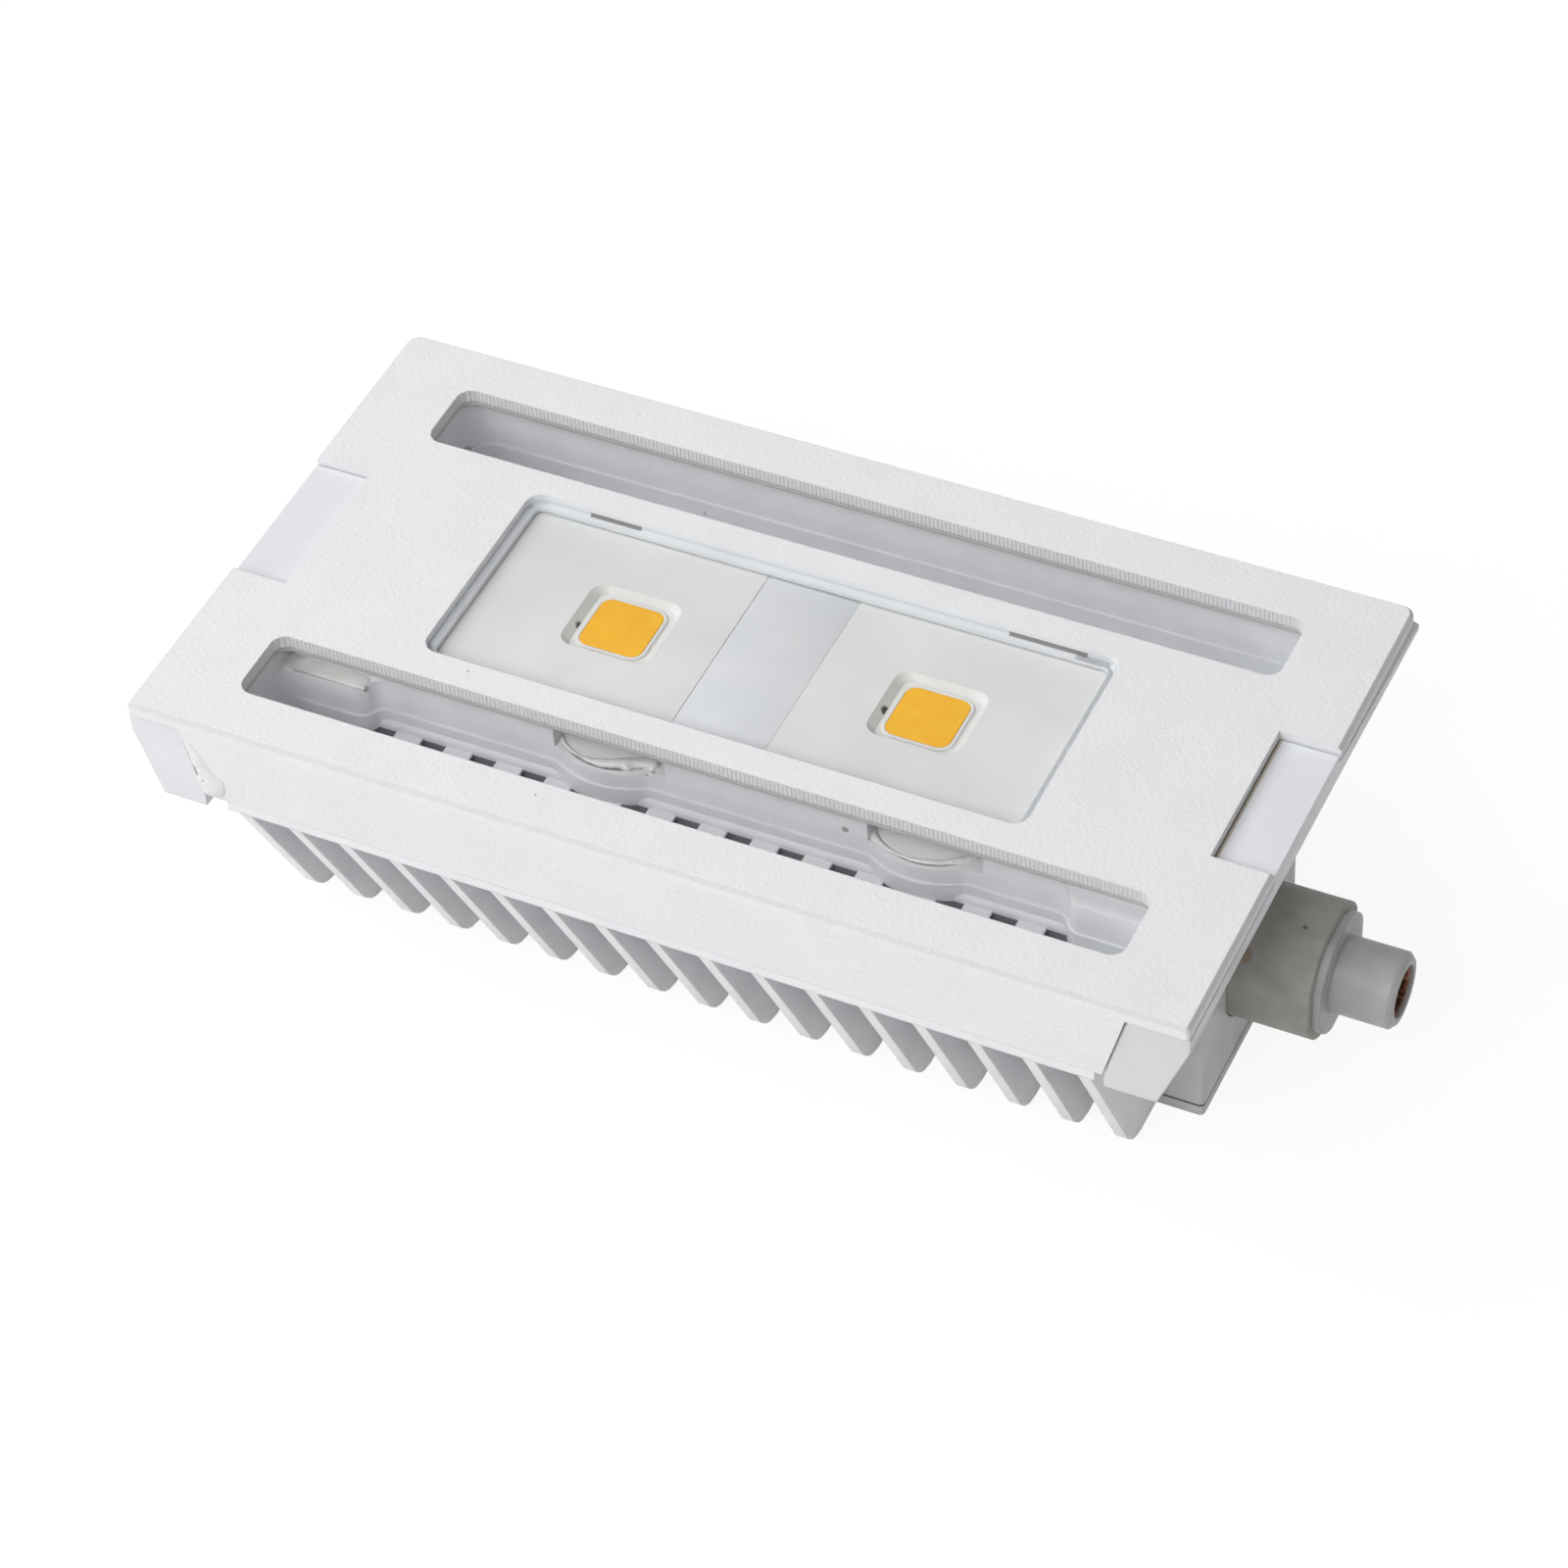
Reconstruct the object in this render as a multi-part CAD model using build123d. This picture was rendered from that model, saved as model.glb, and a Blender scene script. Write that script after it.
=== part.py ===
from build123d import *
import os

# Linear LED lamp with a recessed contact at each end, for a linear halogen lamp holder.
# Millimetres. X runs along the lamp, Y across it, Z up towards the light.
# Zero is in the middle of the lamp, on the flat its fins and driver box rest on.

# Main sizes of the lamp
contact_span = 118.0
lamp_height = 29.5
cover_length = 99.4
cover_width = 53.5
cover_thickness = 1.3
cap_axis_z = 10.8

# Cover plate
plate_back_corner_radius = 1.3
plate_front_corner_radius = 0.4
plate_edge_bevel = 0.3
slot_half_length = 41.6
slot_inner_y = 13.9
slot_outer_y = 21.5
slot_corner_radius = 1.4
window_centre = (-0.35, 0.2)
window_length = 57.5
window_width = 21.9
window_corner_radius = 1.5
window_ledge_width = 0.8
window_ledge_thickness = 0.4
lens_gap = 0.06
lens_drop = 0.3
lens_bevel = 0.25
notch_depth = 5.6
notch_width = 15.9
skirt_thickness = 1.3
skirt_lean = 0.4
skirt_right_top_x = 44.1
skirt_right_bottom_x = 41.9
skirt_left_top_x = -44.7
skirt_left_bottom_x = -43.0

# Heat sink casting
deck_top = 20.3
deck_bottom = 19.1
lip_z = 22.0
lip_step = 0.3
deck_half_width = 26.2
body_half_length = 43.8
body_half_width = 24.8
corner_half_length = 41.2
corner_top_half_length = 43.4
corner_start_y = 19.6
shelf_thickness = 0.7
shelf_set_back = 0.2
channel_wall_y = 12.1
channel_outer_y = 23.1
channel_half_length = 41.8
channel_corner_radius = 2.6
bend_radius = 1.4
end_block_y = 13.8
end_block_x = 33.6
end_block_top = 25.3
bulge_radius = 8.1
bulge_top = 23.6
bulge_y = -5.3
bulge_centres = (-11.1, 19.0)
plug_radius = 5.6
plug_bore_radius = 6.0
plug_seat_z = 20.8
plug_shift = -0.3
plug_y = -7.0
pocket_half_length = 5.35
pocket_shift = 0.8
pocket_back_y = -9.0
led_seat_z = 26.3
led_seat_half_length = 30.0
led_seat_half_width = 13.0
cavity_half_length = 41.0
cavity_half_width = 9.6
cavity_top = 24.6
fin_pitch = 5.0
fin_count = 17
fin_thickness = 1.2
fin_inner_y = 11.2
fin_outer_y = 25.5
fin_tip_y = 16.45
fin_corner = 1.35
vent_count = 14
vent_width = 2.4
vent_corner = 0.4
vent_start_y = 12.3
vent_end_y = 20.5

# Light sources
led_x = 14.8
pad_thickness = 0.2
board_size = 13.5
board_thickness = 0.8
phosphor_size = 6.1
phosphor_thickness = 0.15
reflector_top = 28.0
reflector_left_end_x = -5.3
reflector_right_end_x = 3.7
reflector_half_length = 29.4
reflector_gap = 0.03
reflector_half_width = 11.9
pocket_bottom_size = 7.4
pocket_top_length = 8.9
pocket_top_width = 8.2
rib_top = 27.9
led_wire_radius = 0.5
led_wire_inset = 4.0
led_wire_y = 5.5

# Driver box under the heat sink
box_half_length = 45.0
box_half_width = 11.0
box_wall = 1.3
lid_thickness = 1.2
box_corner_radius = 0.5
rail_half_length = 34.0
rail_inner_y = 7.0
rail_outer_y = 8.2
screw_x = 42.2
screw_y = 8.5
screw_post_half = 1.75
screw_radius = 0.9
screw_head_radius = 1.7
screw_head_height = 0.8
screw_head_z = 0.2
screw_top = 24.5

# Driver electronics
circuit_z = 5.4
circuit_thickness = 1.2
circuit_half_length = 36.0
circuit_half_width = 9.4
capacitor_y = -4.4
capacitor_radius = 4.9
capacitor_top = 20.4
transformer_half_length = 6.2
transformer_half_width = 5.5
transformer_height = 12.4
core_half_width = 2.6
core_leg = 1.5
winding_radius = 4.6
winding_top = 9.0
flange_thickness = 1.1
film_capacitor_x = -27.5
film_capacitor_size = (12.0, 6.4, 10.5)
inductor_place = (29.6, 5.0)
inductor_foot = 7.2
inductor_radius = 3.5
inductor_height = 9.2
wire_half = 0.5

# End caps
cap_radius = 6.25
cap_flat = 5.85
cap_end_x = 52.5
cap_start_x = 41.6
cap_flange_radius = 6.95
cap_flange_flat = 6.4
cap_flange_end_x = box_half_length - box_wall
collar_end_x = 53.3
collar_radius = 5.5
collar_flat = 5.15
tip_radius = 3.5
tip_chamfer = 0.45
recess_radius = 2.45
recess_depth = 3.4
contact_wall = 0.35
contact_drop = 0.5
stem_half = 0.7
stem_end_x = 39.5

# End brackets and sealant
bracket_inner_x = 43.9
bracket_corner_y = 19.8
corner_front_y = 26.45
bracket_gap = 0.2
bracket_lip_top = 27.8
bracket_lip_bottom = 27.2
bracket_back_reach = 0.3
bracket_right_bottom_x = 46.8
bracket_left_bottom_x = 47.5
tab_top = 28.65
tab_thickness = 0.9
tab_gap = 0.15
seal_height = 0.35
bead_thickness = 0.35

# Heights that follow from these
cover_underside = lamp_height - cover_thickness
plate_side_top = lamp_height - plate_edge_bevel
shelf_bottom = cover_underside - shelf_thickness
circuit_top = circuit_z + circuit_thickness


def box(x0, x1, y0, y1, z0, z1):
    """A block given by its two corners."""
    centre = Location(((x0 + x1) / 2, (y0 + y1) / 2, (z0 + z1) / 2))
    return centre * Box(x1 - x0, y1 - y0, z1 - z0)


def bar(x0, x1, radius, y=0.0, z=cap_axis_z):
    """A round bar lying along X."""
    centre = Location(((x0 + x1) / 2, y, z), (0, 90, 0))
    return centre * Cylinder(radius, x1 - x0)


def post(x, y, z0, z1, radius):
    """An upright round post."""
    return Location((x, y, (z0 + z1) / 2)) * Cylinder(radius, z1 - z0)


def pin(x, y, z0, z1, radius):
    """An upright pin with eight flats, for wires, screw shanks and their holes, which are thin and hidden."""
    return Location((x, y, z0)) * extrude(RegularPolygon(radius, 8, major_radius=False), z1 - z0)


def stem(x0, x1, half):
    """A square rod lying along X on the axis of the caps."""
    return box(x0, x1, -half, half, cap_axis_z - half, cap_axis_z + half)


def rounded_block(x0, x1, y0, y1, z0, z1, radius):
    """An upright block with its four standing corners rounded."""
    sketch = Location(((x0 + x1) / 2, (y0 + y1) / 2)) * RectangleRounded(x1 - x0, y1 - y0, radius)
    return Location((0, 0, z0)) * extrude(sketch, z1 - z0)


def side_profile(points, y0, y1):
    """An outline drawn in X and Z, given depth from y0 to y1."""
    sketch = Plane.XZ * make_face(Polyline(*points, close=True))
    return Location((0, y1, 0)) * extrude(sketch, y1 - y0)


def end_profile(points, x0, x1):
    """An outline drawn in Y and Z, given length from x0 to x1."""
    sketch = Plane.YZ * make_face(Polyline(*points, close=True))
    return Location((x0, 0, 0)) * extrude(sketch, x1 - x0)


def flip_end(shape):
    """The same piece for the left end."""
    return mirror(shape, Plane.YZ)


def flip_side(shape):
    """The same piece for the back side."""
    return mirror(shape, Plane.XZ)


def cover_skirt():
    """The front wall of the cover, leaning in a little and cut back at both ends."""
    half = cover_width / 2
    wall = end_profile(
        [
            (-half, cover_underside),
            (-half, plate_side_top),
            (-half + skirt_thickness, plate_side_top),
            (-half + skirt_thickness + skirt_lean, deck_top),
            (-half + skirt_lean, deck_top),
        ],
        -cover_length / 2,
        cover_length / 2,
    )
    window = side_profile(
        [
            (skirt_left_top_x, lamp_height),
            (skirt_right_top_x, lamp_height),
            (skirt_right_top_x, cover_underside),
            (skirt_right_bottom_x, deck_top),
            (skirt_left_bottom_x, deck_top),
            (skirt_left_top_x, cover_underside),
        ],
        -half - 1,
        -half + 4,
    )
    return wall & window


def window_block(margin, z0, z1, radius):
    """A block the size of the window, made smaller all round by the margin."""
    x, y = window_centre
    half_x = window_length / 2 - margin
    half_y = window_width / 2 - margin
    return rounded_block(x - half_x, x + half_x, y - half_y, y + half_y, z0, z1, radius)


def front_cover():
    """White moulded cover with two long air slots, the window and the end notches."""
    half_x = cover_length / 2
    half_y = cover_width / 2
    plate = box(-half_x, half_x, -half_y, half_y, cover_underside, lamp_height)
    corners = plate.edges().filter_by(Axis.Z).sort_by(Axis.Y)
    plate = fillet(corners[:2], plate_front_corner_radius)
    corners = plate.edges().filter_by(Axis.Z).sort_by(Axis.Y)
    plate = fillet(corners[-2:], plate_back_corner_radius)
    plate = chamfer(plate.faces().sort_by(Axis.Z)[-1].edges(), plate_edge_bevel)
    cover = plate + cover_skirt() + flip_side(cover_skirt())
    slot = rounded_block(
        -slot_half_length, slot_half_length, -slot_outer_y, -slot_inner_y,
        cover_underside - 1, lamp_height + 1, slot_corner_radius,
    )
    cover -= slot
    cover -= flip_side(slot)
    ledge_top = cover_underside + window_ledge_thickness
    cover -= window_block(0, ledge_top, lamp_height + 1, window_corner_radius)
    cover -= window_block(window_ledge_width, cover_underside - 1, ledge_top + 1, window_corner_radius / 2)
    for side in (-1, 1):
        x0, x1 = sorted((side * (half_x - notch_depth), side * (half_x + 1)))
        cover -= box(x0, x1, -notch_width / 2, notch_width / 2, cover_underside - 1, lamp_height + 1)
    return cover


def window_lens():
    """Clear panel that lies on the ledge of the window, a little below the face."""
    bottom = cover_underside + window_ledge_thickness
    top = lamp_height - lens_drop
    panel = window_block(lens_gap, bottom, top, window_corner_radius - lens_gap)
    return chamfer(panel.faces().sort_by(Axis.Z)[-1].edges(), lens_bevel)


def channel_outline(with_bulges):
    """Plan of the front air channel: a long slot with the end blocks and round bulges left standing."""
    width = channel_outer_y - channel_wall_y
    middle = (channel_outer_y + channel_wall_y) / 2
    area = Location((0, -middle)) * RectangleRounded(2 * channel_half_length, width, channel_corner_radius)
    for end in (-1, 1):
        area -= Location((end * (end_block_x + 5), -channel_wall_y)) * Rectangle(10, 2 * (end_block_y - channel_wall_y))
    if with_bulges:
        for x in bulge_centres:
            area -= Location((x, bulge_y)) * Circle(bulge_radius)
    area = offset(offset(area, -bend_radius), bend_radius)
    return offset(offset(area, bend_radius), -bend_radius)


def air_channel(outline):
    """The hollow of one air channel: narrower below its small ledge, and at the shelf under the cover's slot."""
    upper = Location((0, 0, lip_z)) * extrude(outline, shelf_bottom - lip_z)
    lower = Location((0, 0, deck_top)) * extrude(offset(outline, -lip_step), lip_z - deck_top)
    half_x = slot_half_length + shelf_set_back
    mouth = rounded_block(
        -half_x, half_x, -slot_outer_y - shelf_set_back, -slot_inner_y + shelf_set_back,
        shelf_bottom, lamp_height, slot_corner_radius + shelf_set_back,
    )
    return upper + lower + mouth


def vents(outline):
    """The row of air holes through the deck, between the fins and clear of the channel walls."""
    hole = chamfer(Rectangle(vent_width, vent_end_y - vent_start_y).vertices(), vent_corner)
    row = []
    for i in range(vent_count):
        x = (i - (vent_count - 1) / 2) * fin_pitch
        row.append(Location((x, -(vent_end_y + vent_start_y) / 2)) * hole)
    plan = Sketch() + row
    return Location((0, 0, deck_bottom - 1)) * extrude(plan & offset(outline, -lip_step), deck_top - deck_bottom + 1)


def fin(x):
    """One cast fin: straight inner edge, slanted outer edge and a rounded lower corner."""
    outline = make_face(
        Polyline(
            (-fin_inner_y, deck_bottom + 0.3),
            (-fin_outer_y - 0.4, deck_bottom + 0.3),
            (-fin_outer_y, deck_bottom - 0.9),
            (-fin_tip_y, 0.0),
            (-fin_inner_y, 0.0),
            close=True,
        )
    )
    outline = chamfer(outline.vertices().sort_by(Axis.X)[2], fin_corner)
    outline = chamfer(outline.vertices().sort_by(Axis.X)[2:4], fin_corner / 2)
    plate = extrude(Plane.YZ * outline, fin_thickness / 2, both=True)
    return Location((x, 0, 0)) * plate


def heat_sink():
    """Die casting: deck with vents, standing channel walls, seats for the lights, and two banks of fins."""
    front = channel_outline(True)
    back = channel_outline(False)
    casting = standing_body()
    casting -= air_channel(front)
    casting -= Location((0, 0, bulge_top)) * extrude(back, shelf_bottom - bulge_top)
    casting -= flip_side(air_channel(back))
    casting -= end_block_cuts()
    casting += deck()
    casting -= vents(front)
    casting -= flip_side(vents(back))
    casting -= driver_cavity()
    casting -= plug_bores()
    for x, y in screw_places():
        casting -= pin(x, y, deck_bottom - 1, screw_top, screw_radius)
    for i in range(fin_count):
        one = fin((i - (fin_count - 1) / 2) * fin_pitch)
        casting += one
        casting += flip_side(one)
    return casting


def deck():
    """The plate of the casting that the fins hang from."""
    plate = box(-corner_half_length, corner_half_length, -deck_half_width, deck_half_width, deck_bottom, deck_top)
    return plate + box(-body_half_length, body_half_length, -corner_start_y, corner_start_y, deck_bottom, deck_top)


def standing_body():
    """The block above the deck, with the seat of the lights cut in its top and the low rib between them."""
    body = side_profile(
        [
            (-corner_half_length, deck_top),
            (corner_half_length, deck_top),
            (corner_top_half_length, cover_underside),
            (-corner_top_half_length, cover_underside),
        ],
        -body_half_width,
        body_half_width,
    )
    body += box(-body_half_length, body_half_length, -corner_start_y, corner_start_y, deck_top, cover_underside)
    body -= box(
        -led_seat_half_length, led_seat_half_length, -led_seat_half_width, led_seat_half_width, led_seat_z, lamp_height
    )
    return body + box(
        reflector_left_end_x + reflector_gap, reflector_right_end_x - reflector_gap,
        -reflector_half_width, reflector_half_width, led_seat_z - 0.1, rib_top,
    )


def driver_cavity():
    """The hollow under the seat that the driver stands up into, with a wire hole to each light source."""
    hollow = box(
        -cavity_half_length, cavity_half_length, -cavity_half_width, cavity_half_width, deck_bottom - 1, cavity_top
    )
    for side in (-1, 1):
        x = side * (led_x - led_wire_inset)
        hollow += pin(x, led_wire_y, cavity_top - 1, lamp_height, led_wire_radius + 0.2)
    return hollow


def plug_pocket(x, z0, z1):
    """Room above the front part of a plug, where the channel wall is left open."""
    middle = x + pocket_shift
    return box(middle - pocket_half_length, middle + pocket_half_length, -channel_outer_y, pocket_back_y, z0, z1)


def plug_bores():
    """The blind bore of each round plug and the pocket over its front edge."""
    bores = []
    for x in bulge_centres:
        bores.append(post(x, plug_y, plug_seat_z, bulge_top, plug_bore_radius))
        bores.append(plug_pocket(x, bulge_top, shelf_bottom))
    return bores


def end_block_cuts():
    """What is cut away above the four low blocks at the ends of the air channels."""
    cuts = []
    for end in (-1, 1):
        for side in (-1, 1):
            x0, x1 = sorted((end * (end_block_x - 1), end * channel_half_length))
            y0, y1 = sorted((side * channel_wall_y, side * (end_block_y + 2)))
            cuts.append(box(x0, x1, y0, y1, end_block_top, shelf_bottom))
    return cuts


def screw_places():
    """Where the four lid screws stand."""
    return [(x * screw_x, y * screw_y) for x in (-1, 1) for y in (-1, 1)]


def reflector(x0, x1, chip_x):
    """White frame round one light source, with a sloped square pocket."""
    frame = box(x0, x1, -reflector_half_width, reflector_half_width, led_seat_z, reflector_top)
    board_top = led_seat_z + pad_thickness + board_thickness
    half = board_size / 2 + 0.1
    frame -= box(chip_x - half, chip_x + half, -half, half, led_seat_z - 1, board_top)
    low = Location((chip_x, 0, board_top - 0.01)) * RectangleRounded(pocket_bottom_size, pocket_bottom_size, 0.9)
    high = Location((chip_x, 0, reflector_top + 0.01)) * RectangleRounded(pocket_top_length, pocket_top_width, 1.4)
    frame -= loft([low.face(), high.face()])
    return frame


def thermal_pad(x):
    """Soft sheet that takes the heat from a board to the casting."""
    half = board_size / 2
    pad = box(x - half, x + half, -half, half, led_seat_z, led_seat_z + pad_thickness)
    return pad - wire_hole(x)


def wire_hole(x):
    """Room for the supply wire of the board at x."""
    side = -1 if x < 0 else 1
    top = led_seat_z + pad_thickness + 0.3
    return pin(side * (led_x - led_wire_inset), led_wire_y, cavity_top, top, led_wire_radius + 0.05)


def led_board(x):
    """Ceramic board that carries one light source."""
    half = board_size / 2
    z0 = led_seat_z + pad_thickness
    return box(x - half, x + half, -half, half, z0, z0 + board_thickness) - wire_hole(x)


def phosphor(x):
    """Yellow square of phosphor over the light source."""
    z0 = led_seat_z + pad_thickness + board_thickness
    half = phosphor_size / 2
    return rounded_block(x - half, x + half, -half, half, z0, z0 + phosphor_thickness, 1.0)


def led_wire(x):
    """Wire from the driver board up to one light source board."""
    side = -1 if x < 0 else 1
    top = led_seat_z + pad_thickness + 0.3
    return pin(side * (led_x - led_wire_inset), led_wire_y, circuit_top, top, led_wire_radius)


def end_bracket(skirt_top_x, skirt_bottom_x, bottom_x):
    """End bracket drawn for the right: strip under the end of the cover, a corner block each side, and the tab."""
    half_x = cover_length / 2
    lip_x = half_x + bracket_back_reach
    outer = [
        (half_x - 0.8, cover_underside),
        (lip_x, bracket_lip_top),
        (lip_x, bracket_lip_bottom),
        (bottom_x, deck_bottom),
    ]
    corner_inner = [
        (skirt_bottom_x + bracket_gap, deck_bottom),
        (skirt_bottom_x + bracket_gap, deck_top),
        (skirt_top_x + bracket_gap, cover_underside),
    ]
    corner = side_profile(outer + corner_inner, -corner_front_y, -bracket_corner_y)
    strip_inner = [(bracket_inner_x, deck_bottom), (bracket_inner_x, cover_underside)]
    strip = side_profile(outer + strip_inner, -bracket_corner_y, bracket_corner_y)
    bracket = strip + corner + flip_side(corner)
    bracket = bracket & extrude(bracket_plan(), lamp_height)
    return bracket + tab()


def bracket_plan():
    """Plan that the bracket keeps within: flush with the cover, and a little proud of its back corner."""
    half_x = cover_length / 2
    outline = [
        (0, -corner_front_y),
        (half_x, -corner_front_y),
        (half_x - 0.05, notch_width / 2),
        (half_x + bracket_back_reach, corner_front_y),
        (0, corner_front_y),
    ]
    return make_face(Polyline(*outline, close=True))


def right_bracket():
    """The bracket at the right end."""
    return end_bracket(skirt_right_top_x, skirt_right_bottom_x, bracket_right_bottom_x)


def left_bracket():
    """The bracket at the left end, whose blocks slant a little less."""
    return flip_end(end_bracket(-skirt_left_top_x, -skirt_left_bottom_x, bracket_left_bottom_x))


def tab():
    """Flat tab that fills the end notch of the cover, a little below its face."""
    half_x = cover_length / 2
    half_y = notch_width / 2 - tab_gap
    inner_x = half_x - notch_depth + tab_gap
    return box(inner_x, half_x - 0.05, -half_y, half_y, tab_top - tab_thickness, tab_top)


def cap_section(radius, flat, x0, x1):
    """A round bar along X with four flats."""
    square = box(x0, x1, -flat, flat, cap_axis_z - flat, cap_axis_z + flat)
    return bar(x0, x1, radius) & square


def ceramic_cap():
    """Right end cap body, held in the end wall of the driver box by its flange."""
    body = cap_section(cap_radius, cap_flat, cap_start_x, cap_end_x)
    body += cap_section(cap_flange_radius, cap_flange_flat, cap_start_x, cap_flange_end_x)
    return body - stem(cap_start_x - 1, cap_end_x + 1, stem_half + 0.05)


def contact_tip():
    """Right end tip: a collar and the round nose with the recess for the contact."""
    end = contact_span / 2
    nose = bar(collar_end_x - 0.1, end, tip_radius)
    nose = chamfer(nose.edges().filter_by(GeomType.CIRCLE).sort_by(Axis.X)[-1], tip_chamfer)
    tip = nose + cap_section(collar_radius, collar_flat, cap_end_x, collar_end_x)
    tip -= bar(end - recess_depth, end + 1, recess_radius)
    return tip - stem(cap_end_x - 1, end, stem_half + 0.05)


def contact():
    """Right end contact: a thin cup in the recess with a stem back into the driver box."""
    end = contact_span / 2
    bottom = end - recess_depth
    cup = bar(bottom, end - contact_drop, recess_radius - 0.05)
    cup -= bar(bottom + contact_wall, end, recess_radius - 0.05 - contact_wall)
    return cup + stem(stem_end_x, bottom + 0.1, stem_half)


def driver_box():
    """White box under the heat sink, open above and below, with screw posts and an opening for each cap."""
    outer = rounded_block(
        -box_half_length, box_half_length, -box_half_width, box_half_width, lid_thickness, deck_bottom,
        box_corner_radius,
    )
    inner = box(
        -box_half_length + box_wall, box_half_length - box_wall, -box_half_width + box_wall, box_half_width - box_wall,
        0, deck_bottom + 1,
    )
    shell = outer - inner
    half = screw_post_half
    for x, y in screw_places():
        shell += box(x - half, x + half, y - half, y + half, lid_thickness, deck_bottom)
    for x, y in screw_places():
        shell -= pin(x, y, 0, deck_bottom + 1, screw_radius + 0.1)
    opening = cap_section(cap_radius + 0.1, cap_flat + 0.1, cap_flange_end_x, box_half_length + 1)
    shell -= opening
    return shell - flip_end(opening)


def box_lid():
    """Bottom lid of the driver box, with two rails that carry the driver board."""
    lid = rounded_block(
        -box_half_length, box_half_length, -box_half_width, box_half_width, 0, lid_thickness, box_corner_radius
    )
    for side in (-1, 1):
        y0, y1 = sorted((side * rail_inner_y, side * rail_outer_y))
        lid += box(-rail_half_length, rail_half_length, y0, y1, lid_thickness - 0.1, circuit_z)
    for x, y in screw_places():
        lid -= pin(x, y, -1, lid_thickness + 1, screw_radius + 0.1)
        lid -= post(x, y, -1, screw_head_z + screw_head_height, screw_head_radius + 0.1)
    return lid


def lid_screws():
    """Four self-cutting screws from below, through the lid and box into the casting."""
    screws = []
    for x, y in screw_places():
        head = post(x, y, screw_head_z, screw_head_z + screw_head_height, screw_head_radius)
        screws.append(head + pin(x, y, screw_head_z + 0.5, screw_top - 0.3, screw_radius))
    return Compound(children=screws)


def driver_board():
    """Printed board of the driver."""
    return box(
        -circuit_half_length, circuit_half_length, -circuit_half_width, circuit_half_width, circuit_z, circuit_top
    )


def capacitor(x):
    """Round capacitor standing on the board."""
    return post(x, capacitor_y, circuit_top, capacitor_top, capacitor_radius)


def round_plug(x):
    """Round plug over a capacitor; its front edge shows in the bulge of the casting."""
    return post(x + plug_shift, plug_y, plug_seat_z, bulge_top, plug_radius)


def transformer():
    """Transformer: bobbin with two flanges, winding and a core that wraps it."""
    z0 = circuit_top
    x = (bulge_centres[0] + bulge_centres[1]) / 2
    leg_x = transformer_half_length - core_leg
    flange_x = leg_x + 0.7
    flange_top = z0 + winding_top + 1.0
    winding = post(x, 0, z0 + 1.0, z0 + winding_top, winding_radius)
    flange = box(
        x - flange_x, x + flange_x, -transformer_half_width, transformer_half_width, z0, z0 + flange_thickness
    )
    flanges = flange + Location((0, 0, flange_top - z0 - flange_thickness)) * flange
    core = box(
        x - transformer_half_length, x + transformer_half_length, -core_half_width, core_half_width,
        z0 + flange_thickness, z0 + transformer_height,
    )
    core -= box(x - leg_x, x + leg_x, -core_half_width - 1, core_half_width + 1, z0, flange_top)
    return winding + flanges + core


def film_capacitor():
    """Box-shaped film capacitor across the supply."""
    length, width, height = film_capacitor_size
    block = Location((film_capacitor_x, 0, circuit_top + height / 2)) * Box(length, width, height)
    return chamfer(block.edges().filter_by(Axis.Z), 0.8)


def inductor():
    """Drum inductor on a square foot."""
    z0 = circuit_top
    x, y = inductor_place
    half = inductor_foot / 2
    foot = box(x - half, x + half, y - half, y + half, z0, z0 + 1.2)
    return foot + post(x, y, z0, z0 + inductor_height, inductor_radius)


def bridge_rectifier():
    """Small moulded rectifier block."""
    z0 = circuit_top
    return box(-29.0, -24.0, 4.6, 8.8, z0, z0 + 2.6)


def controller_chip():
    """Control chip of the driver."""
    z0 = circuit_top
    return box(1.0, 6.0, -9.0, -6.0, z0, z0 + 1.5)


def supply_wire():
    """Right end wire from the stem of the contact to the driver board."""
    x = circuit_half_length - 1.2
    level = stem(x, stem_end_x, wire_half)
    return level + box(x, x + 2 * wire_half, -wire_half, wire_half, circuit_top, cap_axis_z)


def seal_bead(x):
    """Cream sealant round the part of a plug that shows in the air channel."""
    top = bulge_top + seal_height
    ring = post(x, plug_y, bulge_top, top, plug_bore_radius)
    ring -= post(x + plug_shift, plug_y, 0, lamp_height, plug_radius - 0.15)
    return ring & plug_pocket(x, bulge_top, top)


def corner_bead():
    """Rough bead of sealant on the front wall beside the left corner block."""
    top = lamp_height - 2.6
    low = deck_top + 0.2
    y = -cover_width / 2 + 0.1
    edge_x = skirt_left_bottom_x
    outline = [
        (edge_x - 1.6, top),
        (edge_x - 0.6, top - 0.2),
        (edge_x + 0.9, low + 2.6),
        (edge_x + 1.5, low + 0.9),
        (edge_x + 0.8, low),
        (edge_x - 0.1, low + 0.1),
    ]
    bead = side_profile(outline, y - bead_thickness, y + skirt_lean)
    return bead - cover_skirt() - left_bracket()


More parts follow.
